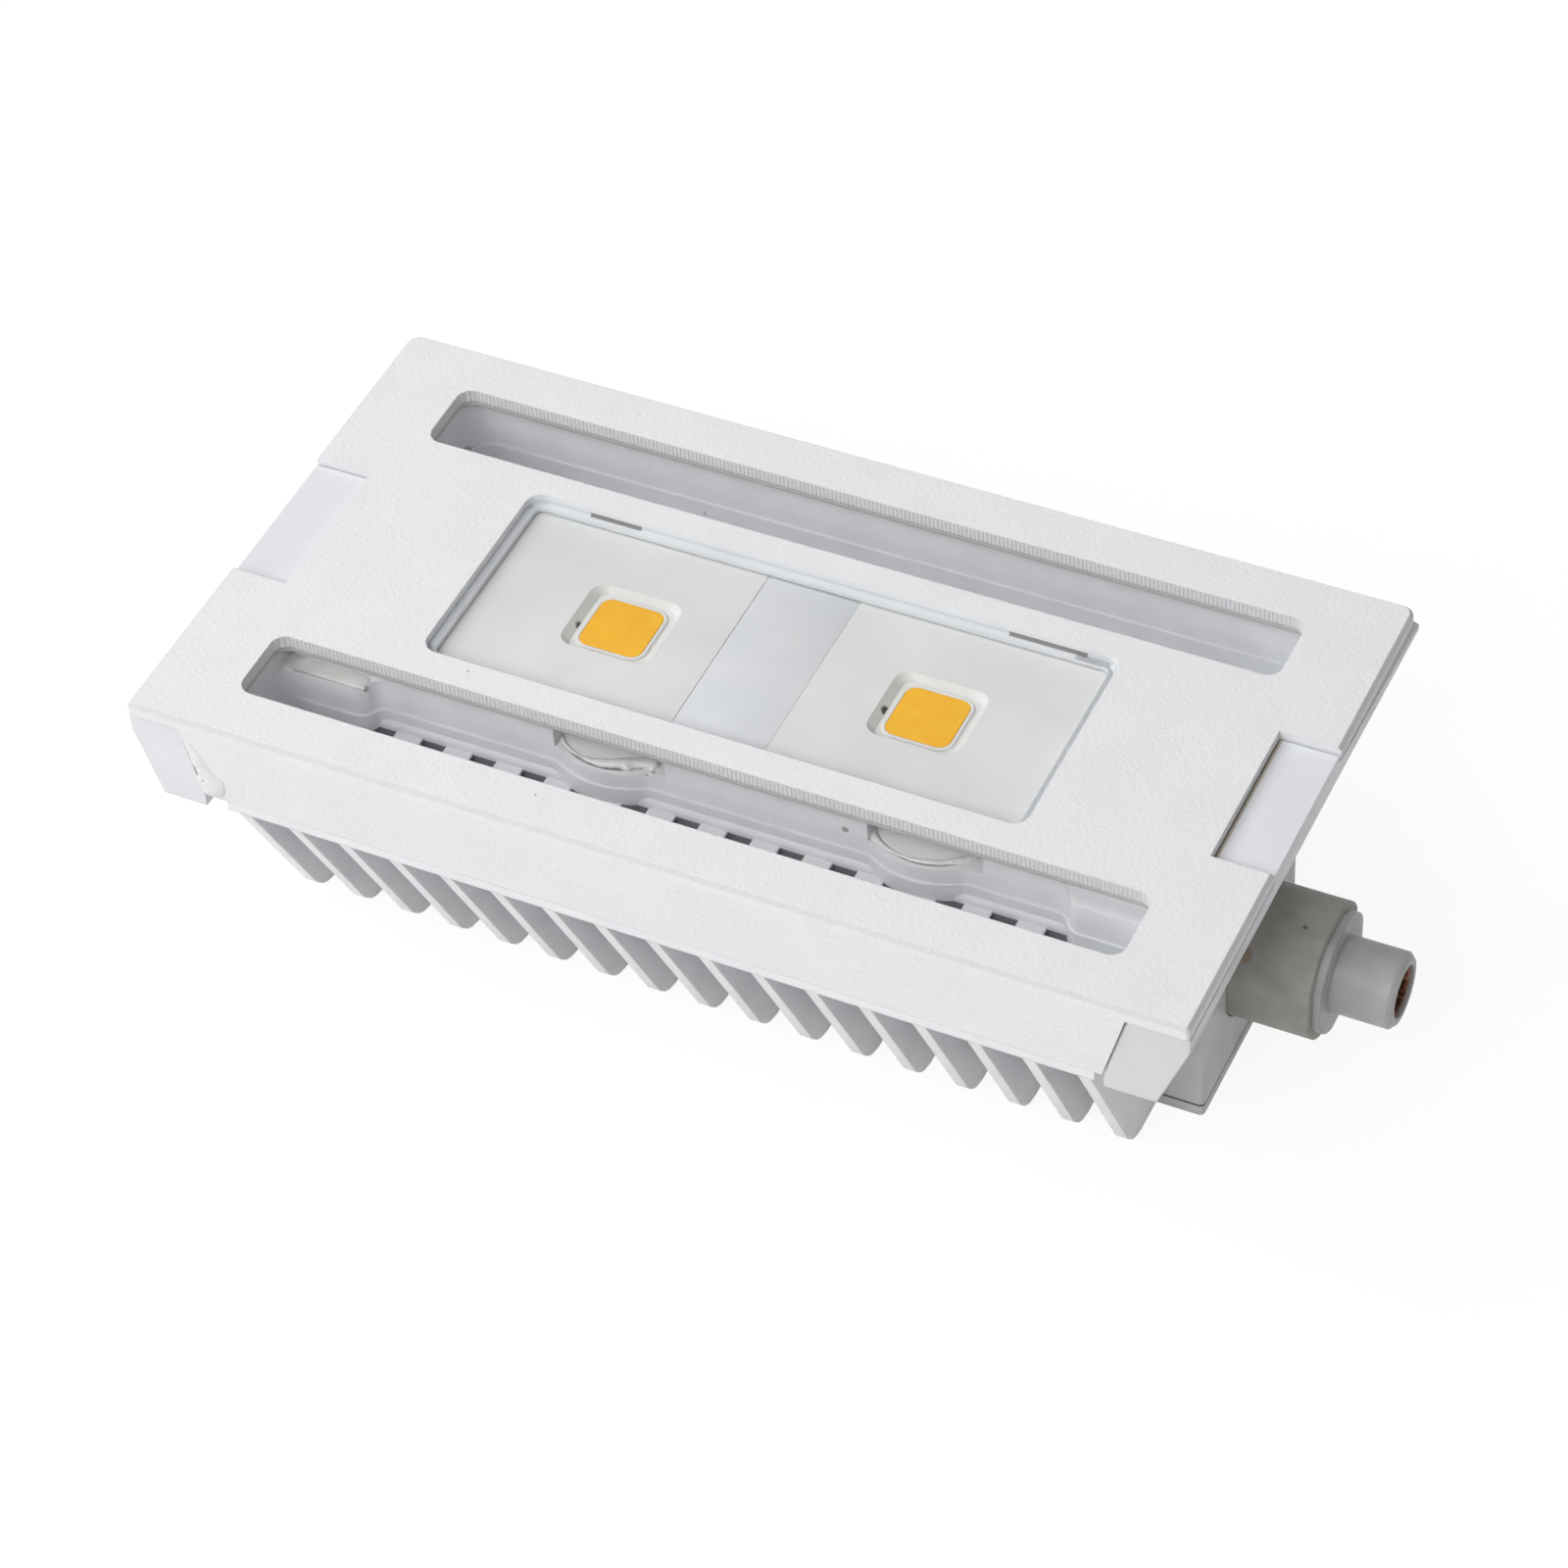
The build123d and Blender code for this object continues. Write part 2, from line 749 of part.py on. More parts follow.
def main():
    os.makedirs("parts", exist_ok=True)
    shapes = {
        "front_cover": front_cover(),
        "window_lens": window_lens(),
        "heat_sink": heat_sink(),
        "reflector_left": reflector(-reflector_half_length, reflector_left_end_x, -led_x),
        "reflector_right": reflector(reflector_right_end_x, reflector_half_length, led_x),
        "driver_box": driver_box(),
        "box_lid": box_lid(),
        "lid_screws": lid_screws(),
        "driver_board": driver_board(),
        "transformer": transformer(),
        "film_capacitor": film_capacitor(),
        "inductor": inductor(),
        "bridge_rectifier": bridge_rectifier(),
        "controller_chip": controller_chip(),
        "end_bracket_right": right_bracket(),
        "end_bracket_left": left_bracket(),
        "corner_bead": corner_bead(),
    }
    for name, end_x, bulge_x in (("left", -led_x, bulge_centres[0]), ("right", led_x, bulge_centres[1])):
        shapes["thermal_pad_" + name] = thermal_pad(end_x)
        shapes["led_board_" + name] = led_board(end_x)
        shapes["phosphor_" + name] = phosphor(end_x)
        shapes["led_wire_" + name] = led_wire(end_x)
        shapes["capacitor_" + name] = capacitor(bulge_x)
        shapes["round_plug_" + name] = round_plug(bulge_x)
        shapes["seal_bead_" + name] = seal_bead(bulge_x)
    for base, shape in (
        ("ceramic_cap", ceramic_cap()),
        ("contact_tip", contact_tip()),
        ("contact", contact()),
        ("supply_wire", supply_wire()),
    ):
        shapes[base + "_right"] = shape
        shapes[base + "_left"] = flip_end(shape)
    for node, shape in shapes.items():
        export_step(shape, "parts/" + node + ".step")
        print(node, len(shape.solids()), round(shape.volume, 1), shape.bounding_box())


main()
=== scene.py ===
import math
import random

import bpy
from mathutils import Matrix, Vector


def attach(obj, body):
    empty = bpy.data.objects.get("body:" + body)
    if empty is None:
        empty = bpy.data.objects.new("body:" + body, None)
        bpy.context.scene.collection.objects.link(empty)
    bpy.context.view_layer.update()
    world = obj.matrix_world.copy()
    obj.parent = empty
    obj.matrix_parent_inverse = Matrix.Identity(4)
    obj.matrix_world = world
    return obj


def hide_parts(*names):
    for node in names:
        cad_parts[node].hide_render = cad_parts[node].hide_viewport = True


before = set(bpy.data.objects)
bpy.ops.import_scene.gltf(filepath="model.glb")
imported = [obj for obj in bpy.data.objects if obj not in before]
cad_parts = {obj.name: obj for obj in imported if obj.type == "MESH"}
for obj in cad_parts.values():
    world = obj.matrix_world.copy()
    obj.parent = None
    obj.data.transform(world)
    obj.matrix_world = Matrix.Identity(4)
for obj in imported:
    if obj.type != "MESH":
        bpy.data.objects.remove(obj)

scene = bpy.context.scene
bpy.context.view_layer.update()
print("frame loaded,", len(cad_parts), "parts")


# camera, set where the photograph was taken from

cameraSet = {
    "place": (0.14691, -0.27724, 0.33165),
    "turn": (44.5306, 2.7975, 25.0306),  # degrees
    "lens": 114.78,  # in mm, like the sensor
    "sensorWidth": 36,
    "clip": (0.01, 20),
}


def addCamera():
    data = bpy.data.cameras.new("camera")
    data.lens = cameraSet["lens"]
    data.sensor_width = cameraSet["sensorWidth"]
    data.clip_start, data.clip_end = cameraSet["clip"]
    camera = bpy.data.objects.new("camera", data)
    camera.location = cameraSet["place"]
    camera.rotation_euler = [math.radians(a) for a in cameraSet["turn"]]
    scene.collection.objects.link(camera)
    scene.camera = camera


addCamera()
print("camera placed")


# small helpers for shader trees

finishSet = {
    "ior": 1.46,
    "mottleDetail": 4.0,
    "mottleRange": (0.35, 0.65),  # of the cloud, stretched between the two colours
    "glossPatch": 0.4,  # of the size of the mottling
    "glossRange": (0.3, 0.7),
    "grainDetail": 2.0,
    "edgeSamples": 4,
    "spotCore": 0.6,  # of a spot's radius, before it fades
}


def makeNode(tree, kind, **inputs):
    node = tree.nodes.new(kind)
    for name, value in inputs.items():
        node.inputs[name].default_value = value
    return node


def calc(tree, operation, first, second):
    node = tree.nodes.new("ShaderNodeMath")
    node.operation = operation
    for socket, value in zip(node.inputs, (first, second)):
        if isinstance(value, (int, float)):
            socket.default_value = value
        else:
            tree.links.new(value, socket)
    return node.outputs[0]


def stretch(tree, value, low, high, newLow=0.0, newHigh=1.0):
    node = tree.nodes.new("ShaderNodeMapRange")
    ends = {"From Min": low, "From Max": high, "To Min": newLow, "To Max": newHigh}
    for name, number in ends.items():
        node.inputs[name].default_value = number
    tree.links.new(value, node.inputs["Value"])
    return node.outputs["Result"]


def objectPlace(tree):
    return tree.nodes.new("ShaderNodeTexCoord").outputs["Object"]


def cloud(tree, size, detail=3.0):
    field = makeNode(tree, "ShaderNodeTexNoise", Scale=1 / size, Detail=detail)
    tree.links.new(objectPlace(tree), field.inputs["Vector"])
    return field.outputs["Fac"]


def blend(tree, factor, first, second):
    node = tree.nodes.new("ShaderNodeMix")
    node.data_type = "RGBA"
    tree.links.new(factor, node.inputs["Factor"])
    ends = [s for s in node.inputs if s.type == "RGBA"]
    for socket, value in zip(ends, (first, second)):
        if isinstance(value, tuple):
            socket.default_value = (*value, 1)
        else:
            tree.links.new(value, socket)
    return [s for s in node.outputs if s.type == "RGBA"][0]


def speckMask(tree, size, radius, share):
    # small round spots: some cells of a Voronoi pattern, near their centres
    cells = makeNode(tree, "ShaderNodeTexVoronoi", Scale=1 / size)
    tree.links.new(objectPlace(tree), cells.inputs["Vector"])
    parts = tree.nodes.new("ShaderNodeSeparateColor")
    tree.links.new(cells.outputs["Color"], parts.inputs["Color"])
    near = calc(tree, "LESS_THAN", cells.outputs["Distance"], radius / size)
    chosen = calc(tree, "LESS_THAN", parts.outputs[0], share)
    return calc(tree, "MULTIPLY", near, chosen)


def spotMask(tree, centre, radius):
    # one soft spot at a given place
    gap = tree.nodes.new("ShaderNodeVectorMath")
    gap.operation = "DISTANCE"
    tree.links.new(objectPlace(tree), gap.inputs[0])
    gap.inputs[1].default_value = centre
    return stretch(tree, gap.outputs["Value"], radius * finishSet["spotCore"], radius, 1.0, 0.0)


def boxMask(tree, low, high):
    # one inside a box given by two corners
    parts = tree.nodes.new("ShaderNodeSeparateXYZ")
    tree.links.new(objectPlace(tree), parts.inputs[0])
    mask = 1.0
    for socket, first, last in zip(parts.outputs, low, high):
        away = calc(tree, "ABSOLUTE", calc(tree, "SUBTRACT", socket, (first + last) / 2), 0)
        mask = calc(tree, "MULTIPLY", calc(tree, "LESS_THAN", away, (last - first) / 2), mask)
    return mask


def bothSides(low, high):
    # a box in front and its mirror at the back
    return (low, high), ((low[0], -high[1], low[2]), (high[0], -low[1], high[2]))


def slopeMask(tree, low, high):
    # one on faces that look up by more than low and less than high
    parts = tree.nodes.new("ShaderNodeSeparateXYZ")
    tree.links.new(tree.nodes.new("ShaderNodeTexCoord").outputs["Normal"], parts.inputs[0])
    above = calc(tree, "GREATER_THAN", parts.outputs[2], low)
    below = calc(tree, "LESS_THAN", parts.outputs[2], high)
    return calc(tree, "MULTIPLY", above, below)


def paintBoxes(tree, color, boxes, paint):
    for low, high in boxes:
        color = blend(tree, boxMask(tree, low, high), color, paint)
    return color


def paintSpots(tree, color, centres, radius, paint):
    for centre in centres:
        color = blend(tree, spotMask(tree, centre, radius), color, paint)
    return color


def repaint(tree, shader, color):
    tree.links.new(color, shader.inputs["Base Color"])


def startFinish(name, look):
    # base of each finish: mottled colour, uneven gloss, grain and softened edges
    finish = bpy.data.materials.new(name)
    finish.use_nodes = True
    tree = finish.node_tree
    shader = tree.nodes["Principled BSDF"]
    shader.inputs["Metallic"].default_value = look.get("metal", 0.0)
    shader.inputs["IOR"].default_value = finishSet["ior"]
    mottle = cloud(tree, look["mottleSize"], finishSet["mottleDetail"])
    mottle = stretch(tree, mottle, *finishSet["mottleRange"])
    color = blend(tree, mottle, look["color"], look["shade"])
    if "speckSize" in look:
        specks = speckMask(tree, look["speckSize"], look["speckRadius"], look["speckShare"])
        color = blend(tree, specks, color, look["speckColor"])
    repaint(tree, shader, color)
    gloss = cloud(tree, look["mottleSize"] * finishSet["glossPatch"])
    gloss = stretch(tree, gloss, *finishSet["glossRange"], *look["roughness"])
    tree.links.new(gloss, shader.inputs["Roughness"])
    edge = tree.nodes.new("ShaderNodeBevel")
    edge.samples = finishSet["edgeSamples"]
    edge.inputs["Radius"].default_value = look["edge"]
    strength, depth = look["grainStrength"], look["grainDepth"]
    grain = makeNode(tree, "ShaderNodeBump", Strength=strength, Distance=depth)
    tree.links.new(cloud(tree, look["grainSize"], finishSet["grainDetail"]), grain.inputs["Height"])
    tree.links.new(edge.outputs["Normal"], grain.inputs["Normal"])
    tree.links.new(grain.outputs["Normal"], shader.inputs["Normal"])
    return finish, tree, shader, color


def dress(finish, *names):
    for name in names:
        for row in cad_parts[name].material_slots:
            row.material = finish


# cover: white moulded plastic with a fine powdery grain

coverLook = {
    "color": (0.775, 0.785, 0.800),
    "shade": (0.755, 0.763, 0.775),
    "mottleSize": 0.006,
    "roughness": (0.62, 0.78),
    "edge": 0.00015,
    "grainSize": 0.00040,
    "grainDepth": 0.00008,
    "grainStrength": 0.8,
    "speckSize": 0.006,
    "speckRadius": 0.00012,
    "speckShare": 0.12,
    "speckColor": (0.35, 0.33, 0.30),
    "bevelShadeColor": (0.60, 0.605, 0.615),  # painted shade on the narrow bevel round the face
    "edgeSlope": (0.40, 0.93),  # how far such a face looks up
    "ribPitch": 0.0004,
    "ribDepth": 0.00009,
    "ribStrength": 0.8,
    "ribBoxes": bothSides((-0.0420, -0.0220, 0.0270), (0.0420, -0.0132, 0.0294)),
    # dark slits between lens and rim: painted shadow in the gaps
    "slitShadeBoxes": (
        ((-0.0233, 0.0109, 0.0282), (-0.0182, 0.0118, 0.0289)),
        ((0.0177, 0.0109, 0.0282), (0.0251, 0.0118, 0.0289)),
    ),
    "slitShadeColor": (0.30, 0.295, 0.29),
}


def makeCoverWhite():
    finish, tree, shader, color = startFinish("coverWhite", coverLook)
    # painted shade: the bevel faces that look partly up are darkened
    color = blend(tree, slopeMask(tree, *coverLook["edgeSlope"]), color, coverLook["bevelShadeColor"])
    # painted shadow in the slits between lens and rim
    color = paintBoxes(tree, color, coverLook["slitShadeBoxes"], coverLook["slitShadeColor"])
    repaint(tree, shader, color)
    # fine upright ribs on the walls of the air slots; a wave of scale 1 repeats every pi / 10
    waves = makeNode(tree, "ShaderNodeTexWave", Scale=math.pi / 10 / coverLook["ribPitch"])
    waves.bands_direction = "X"
    tree.links.new(objectPlace(tree), waves.inputs["Vector"])
    front, back = [boxMask(tree, low, high) for low, high in coverLook["ribBoxes"]]
    onSlots = calc(tree, "MAXIMUM", front, back)
    height = calc(tree, "MULTIPLY", waves.outputs["Fac"], onSlots)
    strength, depth = coverLook["ribStrength"], coverLook["ribDepth"]
    ribs = makeNode(tree, "ShaderNodeBump", Strength=strength, Distance=depth)
    tree.links.new(height, ribs.inputs["Height"])
    tree.links.new(shader.inputs["Normal"].links[0].from_socket, ribs.inputs["Normal"])
    tree.links.new(ribs.outputs["Normal"], shader.inputs["Normal"])
    return finish


dress(makeCoverWhite(), "front_cover")


# brackets: satin plastic, a little bluer and smoother than the cover

bracketLook = {
    "color": (0.725, 0.740, 0.765),
    "shade": (0.700, 0.712, 0.735),
    "mottleSize": 0.005,
    "roughness": (0.36, 0.50),
    "edge": 0.00025,
    "grainSize": 0.0006,
    "grainDepth": 0.00003,
    "grainStrength": 0.4,
    "speckSize": 0.008,
    "speckRadius": 0.00015,
    "speckShare": 0.15,
    "speckColor": (0.42, 0.38, 0.33),
    "cornerBoxes": (((0.0415, -0.0270, 0.0190), (0.0505, -0.0145, 0.0278)),),
    "cornerColor": (0.655, 0.653, 0.645),  # the corner block is painted warmer and greyer
    # painted shade on the tab sides down in the end notches
    "notchShadeBoxes": (
        ((0.0440, -0.0079, 0.0280), (0.0445, 0.0079, 0.0288)),
        ((-0.0445, -0.0079, 0.0280), (-0.0440, 0.0079, 0.0288)),
    ),
    "notchShadeColor": (0.47, 0.42, 0.35),
}


def makeBracketWhite():
    finish, tree, shader, color = startFinish("bracketWhite", bracketLook)
    color = paintBoxes(tree, color, bracketLook["cornerBoxes"], bracketLook["cornerColor"])
    # painted shade in the end notches
    color = paintBoxes(tree, color, bracketLook["notchShadeBoxes"], bracketLook["notchShadeColor"])
    repaint(tree, shader, color)
    return finish


dress(makeBracketWhite(), "end_bracket_left", "end_bracket_right")


# heat sink: white powder coat on a die casting

castingLook = {
    "color": (0.805, 0.815, 0.832),
    "shade": (0.765, 0.776, 0.795),
    "mottleSize": 0.004,
    "roughness": (0.40, 0.58),
    "edge": 0.00030,
    "grainSize": 0.0008,
    "grainDepth": 0.00006,
    "grainStrength": 0.5,
    "speckSize": 0.009,
    "speckRadius": 0.0002,
    "speckShare": 0.12,
    "speckColor": (0.20, 0.18, 0.17),
    "ventShadeColor": (0.20, 0.207, 0.225),  # painted shade in the vents
    "ventShadeBoxes": bothSides((-0.0370, -0.0168, 0.0178), (0.0370, -0.0105, 0.02012)),
    "ledgeShadeColor": (0.60, 0.585, 0.56),  # painted shade under the rim of the air slots
    "ledgeShadeBoxes": bothSides((-0.0430, -0.0235, 0.0274), (0.0430, -0.0120, 0.02825)),
    "spots": ((-0.0180, 0.0231, 0.0207), (0.0123, -0.0121, 0.0241)),
    "spotColor": (0.38, 0.36, 0.34),
    "spotRadius": 0.0004,
}


def makeCastingWhite():
    finish, tree, shader, color = startFinish("castingWhite", castingLook)
    look = castingLook
    # painted shade in the vents and on the deck round them
    color = paintBoxes(tree, color, look["ventShadeBoxes"], look["ventShadeColor"])
    # painted shade under the rim of the air slots
    color = paintBoxes(tree, color, look["ledgeShadeBoxes"], look["ledgeShadeColor"])
    color = paintSpots(tree, color, look["spots"], look["spotRadius"], look["spotColor"])
    repaint(tree, shader, color)
    return finish


castingWhite = makeCastingWhite()
dress(castingWhite, "heat_sink")


# driver box and lid: plain white plastic, coloured a darker grey as painted shade for the box in
# the shadow of the cover

boxLook = {
    "color": (0.585, 0.590, 0.590),
    "shade": (0.535, 0.538, 0.535),
    "mottleSize": 0.006,
    "roughness": (0.42, 0.58),
    "edge": 0.00030,
    "grainSize": 0.0005,
    "grainDepth": 0.00004,
    "grainStrength": 0.4,
    "seamBoxes": (((-0.046, -0.012, 0.00108), (0.046, 0.012, 0.00136)),),  # above the lid
    "seamColor": (0.10, 0.10, 0.105),
    "ventShadeColor": (0.13, 0.132, 0.14),  # the walls under the vents, out of the light
    "ventShadeBoxes": bothSides((-0.0365, -0.0115, 0.0172), (0.0365, -0.0105, 0.0192)),
}


def makeBoxWhite():
    finish, tree, shader, color = startFinish("boxWhite", boxLook)
    color = paintBoxes(tree, color, boxLook["seamBoxes"], boxLook["seamColor"])
    # painted shade on the box walls under the vents
    color = paintBoxes(tree, color, boxLook["ventShadeBoxes"], boxLook["ventShadeColor"])
    repaint(tree, shader, color)
    return finish


dress(makeBoxWhite(), "driver_box", "box_lid")


# window lens: clear panel

lensLook = {
    "clear": (0.985, 0.988, 0.990),
    "haze": (0.960, 0.966, 0.972),
    "hazeSize": 0.01,
    "gloss": (0.55, 0.55, 0.55),
    "glossSize": 0.004,
    "roughness": (0.03, 0.07),
    "ior": 1.45,
}


def makeLensClear():
    # a thin panel: what is under it shows through unbent, and only its gloss is added
    finish = bpy.data.materials.new("lensClear")
    finish.use_nodes = True
    tree = finish.node_tree
    tree.nodes.remove(tree.nodes["Principled BSDF"])
    haze = stretch(tree, cloud(tree, lensLook["hazeSize"]), *finishSet["glossRange"])
    through = tree.nodes.new("ShaderNodeBsdfTransparent")
    tree.links.new(blend(tree, haze, lensLook["haze"], lensLook["clear"]), through.inputs["Color"])
    gloss = makeNode(tree, "ShaderNodeBsdfGlossy", Color=(*lensLook["gloss"], 1))
    rough = cloud(tree, lensLook["glossSize"])
    rough = stretch(tree, rough, *finishSet["glossRange"], *lensLook["roughness"])
    tree.links.new(rough, gloss.inputs["Roughness"])
    mirror = makeNode(tree, "ShaderNodeFresnel", IOR=lensLook["ior"])
    inside = tree.nodes.new("ShaderNodeNewGeometry").outputs["Backfacing"]
    outside = calc(tree, "SUBTRACT", 1.0, inside)
    mixed = tree.nodes.new("ShaderNodeMixShader")
    tree.links.new(calc(tree, "MULTIPLY", mirror.outputs[0], outside), mixed.inputs[0])
    tree.links.new(through.outputs[0], mixed.inputs[1])
    tree.links.new(gloss.outputs[0], mixed.inputs[2])
    tree.links.new(mixed.outputs[0], tree.nodes["Material Output"].inputs["Surface"])
    return finish


dress(makeLensClear(), "window_lens")


# reflector frames: warm white moulding

reflectorLook = {
    "color": (0.800, 0.797, 0.785),
    "shade": (0.775, 0.771, 0.757),
    "mottleSize": 0.006,
    "roughness": (0.45, 0.60),
    "edge": 0.00008,
    "grainSize": 0.0007,
    "grainDepth": 0.00002,
    "grainStrength": 0.3,
    # black discs for the holes: painted shade inside them
    "holes": ((-0.0183, -0.0010, 0.0275), (0.01115, -0.0006, 0.0275)),
    "holeRadius": 0.00062,
    "holeShadeColor": (0.02, 0.018, 0.016),
}


def makeReflectorWhite():
    finish, tree, shader, color = startFinish("reflectorWhite", reflectorLook)
    look = reflectorLook
    # painted shade: black discs where the holes are
    color = paintSpots(tree, color, look["holes"], look["holeRadius"], look["holeShadeColor"])
    repaint(tree, shader, color)
    return finish


dress(makeReflectorWhite(), "reflector_left", "reflector_right")


# light source boards and phosphor

boardLook = {
    "color": (0.80, 0.79, 0.765),
    "shade": (0.77, 0.755, 0.725),
    "mottleSize": 0.003,
    "roughness": (0.5, 0.65),
    "edge": 0.0001,
    "grainSize": 0.0004,
    "grainDepth": 0.00002,
    "grainStrength": 0.3,
}

boardWhite = startFinish("boardWhite", boardLook)[0]
dress(boardWhite, "led_board_left", "led_board_right")

phosphorLook = {
    "color": (1.0, 0.53, 0.010),
    "shade": (0.98, 0.47, 0.006),
    "mottleSize": 0.0016,
    "roughness": (0.55, 0.75),
    "edge": 0.00015,
    "grainSize": 0.00025,
    "grainDepth": 0.00003,
    "grainStrength": 0.4,
}

dress(startFinish("phosphorYellow", phosphorLook)[0], "phosphor_left", "phosphor_right")

padLook = {
    "color": (0.50, 0.51, 0.54),
    "shade": (0.44, 0.45, 0.48),
    "mottleSize": 0.002,
    "roughness": (0.7, 0.85),
    "edge": 0.00005,
    "grainSize": 0.0003,
    "grainDepth": 0.00003,
    "grainStrength": 0.4,
}

dress(startFinish("padGrey", padLook)[0], "thermal_pad_left", "thermal_pad_right")


# round plugs and sealant

plugLook = {
    "color": (0.92, 0.925, 0.94),
    "shade": (0.89, 0.895, 0.91),
    "mottleSize": 0.003,
    "roughness": (0.32, 0.48),
    "edge": 0.0002,
    "grainSize": 0.0007,
    "grainDepth": 0.00003,
    "grainStrength": 0.3,
}

dress(startFinish("plugGrey", plugLook)[0], "round_plug_left", "round_plug_right")

sealantLook = {
    "color": (0.81, 0.808, 0.79),
    "shade": (0.73, 0.725, 0.705),
    "mottleSize": 0.0014,
    "roughness": (0.30, 0.55),
    "edge": 0.0001,
    "grainSize": 0.0006,
    "grainDepth": 0.0001,
    "grainStrength": 0.6,
}

sealantCream = startFinish("sealantCream", sealantLook)[0]


# ceramic ends

capLook = {
    "color": (0.395, 0.383, 0.358),
    "shade": (0.335, 0.322, 0.297),
    "mottleSize": 0.0022,
    "roughness": (0.55, 0.72),
    "edge": 0.0003,
    "grainSize": 0.0004,
    "grainDepth": 0.00006,
    "grainStrength": 0.5,
    "speckSize": 0.004,
    "speckRadius": 0.00015,
    "speckShare": 0.2,
    "speckColor": (0.10, 0.08, 0.06),
    "smudges": ((0.0460, -0.0047, 0.0149),),
    "smudgeRadius": 0.0010,
    "smudgeColor": (0.29, 0.235, 0.18),
    "spots": ((0.0503, -0.0013, 0.0169),),
    "spotRadius": 0.0004,
    "spotColor": (0.09, 0.07, 0.055),
}


def makeCapCeramic():
    finish, tree, shader, color = startFinish("capCeramic", capLook)
    look = capLook
    color = paintSpots(tree, color, look["smudges"], look["smudgeRadius"], look["smudgeColor"])
    color = paintSpots(tree, color, look["spots"], look["spotRadius"], look["spotColor"])
    repaint(tree, shader, color)
    return finish


dress(makeCapCeramic(), "ceramic_cap_left", "ceramic_cap_right")

tipLook = {
    "color": (0.43, 0.43, 0.425),
    "shade": (0.37, 0.37, 0.365),
    "mottleSize": 0.003,
    "roughness": (0.38, 0.52),
    "edge": 0.0003,
    "grainSize": 0.0005,
    "grainDepth": 0.00003,
    "grainStrength": 0.4,
    "chips": ((0.0588, -0.0024, 0.0083),),
    "chipRadius": 0.00045,
    "chipColor": (0.13, 0.12, 0.11),
}


def makeTipCeramic():
    finish, tree, shader, color = startFinish("tipCeramic", tipLook)
    look = tipLook
    color = paintSpots(tree, color, look["chips"], look["chipRadius"], look["chipColor"])
    repaint(tree, shader, color)
    return finish


dress(makeTipCeramic(), "contact_tip_left", "contact_tip_right")

# near-black copper for the contacts: painted shade inside the contact recesses
contactLook = {
    "color": (0.12, 0.055, 0.035),
    "shade": (0.03, 0.022, 0.018),
    "mottleSize": 0.0012,
    "roughness": (0.40, 0.65),
    "edge": 0.0001,
    "grainSize": 0.0004,
    "grainDepth": 0.00005,
    "grainStrength": 0.5,
    "metal": 1.0,
}

dress(startFinish("contactDark", contactLook)[0], "contact_left", "contact_right")

copperLook = {
    "color": (0.42, 0.20, 0.12),
    "shade": (0.10, 0.05, 0.035),
    "mottleSize": 0.0010,
    "roughness": (0.35, 0.60),
    "edge": 0.00005,
    "grainSize": 0.0003,
    "grainDepth": 0.00004,
    "grainStrength": 0.5,
    "metal": 1.0,
}

rimCopper = startFinish("rimCopper", copperLook)[0]


# screws and the parts inside the driver box

screwLook = {
    "color": (0.60, 0.61, 0.63),
    "shade": (0.48, 0.49, 0.51),
    "mottleSize": 0.0012,
    "roughness": (0.28, 0.45),
    "edge": 0.0001,
    "grainSize": 0.0003,
    "grainDepth": 0.00002,
    "grainStrength": 0.4,
    "metal": 1.0,
}

screwSteel = startFinish("screwSteel", screwLook)[0]

circuitLook = {
    "color": (0.05, 0.20, 0.09),
    "shade": (0.03, 0.14, 0.06),
    "mottleSize": 0.002,
    "roughness": (0.25, 0.4),
    "edge": 0.0001,
    "grainSize": 0.0006,
    "grainDepth": 0.00003,
    "grainStrength": 0.4,
}

dress(startFinish("circuitGreen", circuitLook)[0], "driver_board")

blackLook = {
    "color": (0.030, 0.030, 0.034),
    "shade": (0.018, 0.018, 0.020),
    "mottleSize": 0.003,
    "roughness": (0.3, 0.5),
    "edge": 0.0002,
    "grainSize": 0.0005,
    "grainDepth": 0.00003,
    "grainStrength": 0.4,
}

dress(
    startFinish("componentBlack", blackLook)[0],
    "capacitor_left", "capacitor_right", "bridge_rectifier", "controller_chip", "inductor",
)

filmLook = {
    "color": (0.72, 0.50, 0.07),
    "shade": (0.62, 0.42, 0.05),
    "mottleSize": 0.003,
    "roughness": (0.2, 0.35),
    "edge": 0.0002,
    "grainSize": 0.0008,
    "grainDepth": 0.00003,
    "grainStrength": 0.3,
}

dress(startFinish("filmYellow", filmLook)[0], "film_capacitor")

tapeLook = {
    "color": (0.68, 0.50, 0.12),
    "shade": (0.56, 0.40, 0.09),
    "mottleSize": 0.002,
    "roughness": (0.35, 0.5),
    "edge": 0.0001,
    "grainSize": 0.0005,
    "grainDepth": 0.00003,
    "grainStrength": 0.4,
}

dress(startFinish("transformerTape", tapeLook)[0], "transformer")

wireLook = {
    "color": (0.50, 0.03, 0.025),
    "shade": (0.38, 0.02, 0.018),
    "mottleSize": 0.002,
    "roughness": (0.3, 0.45),
    "edge": 0.0001,
    "grainSize": 0.0006,
    "grainDepth": 0.00002,
    "grainStrength": 0.3,
}

dress(
    startFinish("wireRed", wireLook)[0],
    "led_wire_left", "led_wire_right", "supply_wire_left", "supply_wire_right",
)
print("finishes on")


# helpers for the pieces that are modelled here

mm = 0.001
nearby = 0.01  # in mm, how close to a level counts as on it
smoothBelow = 40  # degrees between faces that shade as one


def clearPick():
    bpy.ops.object.select_all(action="DESELECT")


def applyPlace():
    bpy.ops.object.transform_apply(location=True, rotation=True, scale=True)


def addBlock(low, high):
    # a block between two corners, given in mm
    middle = [(a + b) / 2 * mm for a, b in zip(low, high)]
    bpy.ops.mesh.primitive_cube_add(size=mm, location=middle)
    bpy.context.object.scale = [b - a for a, b in zip(low, high)]
    applyPlace()


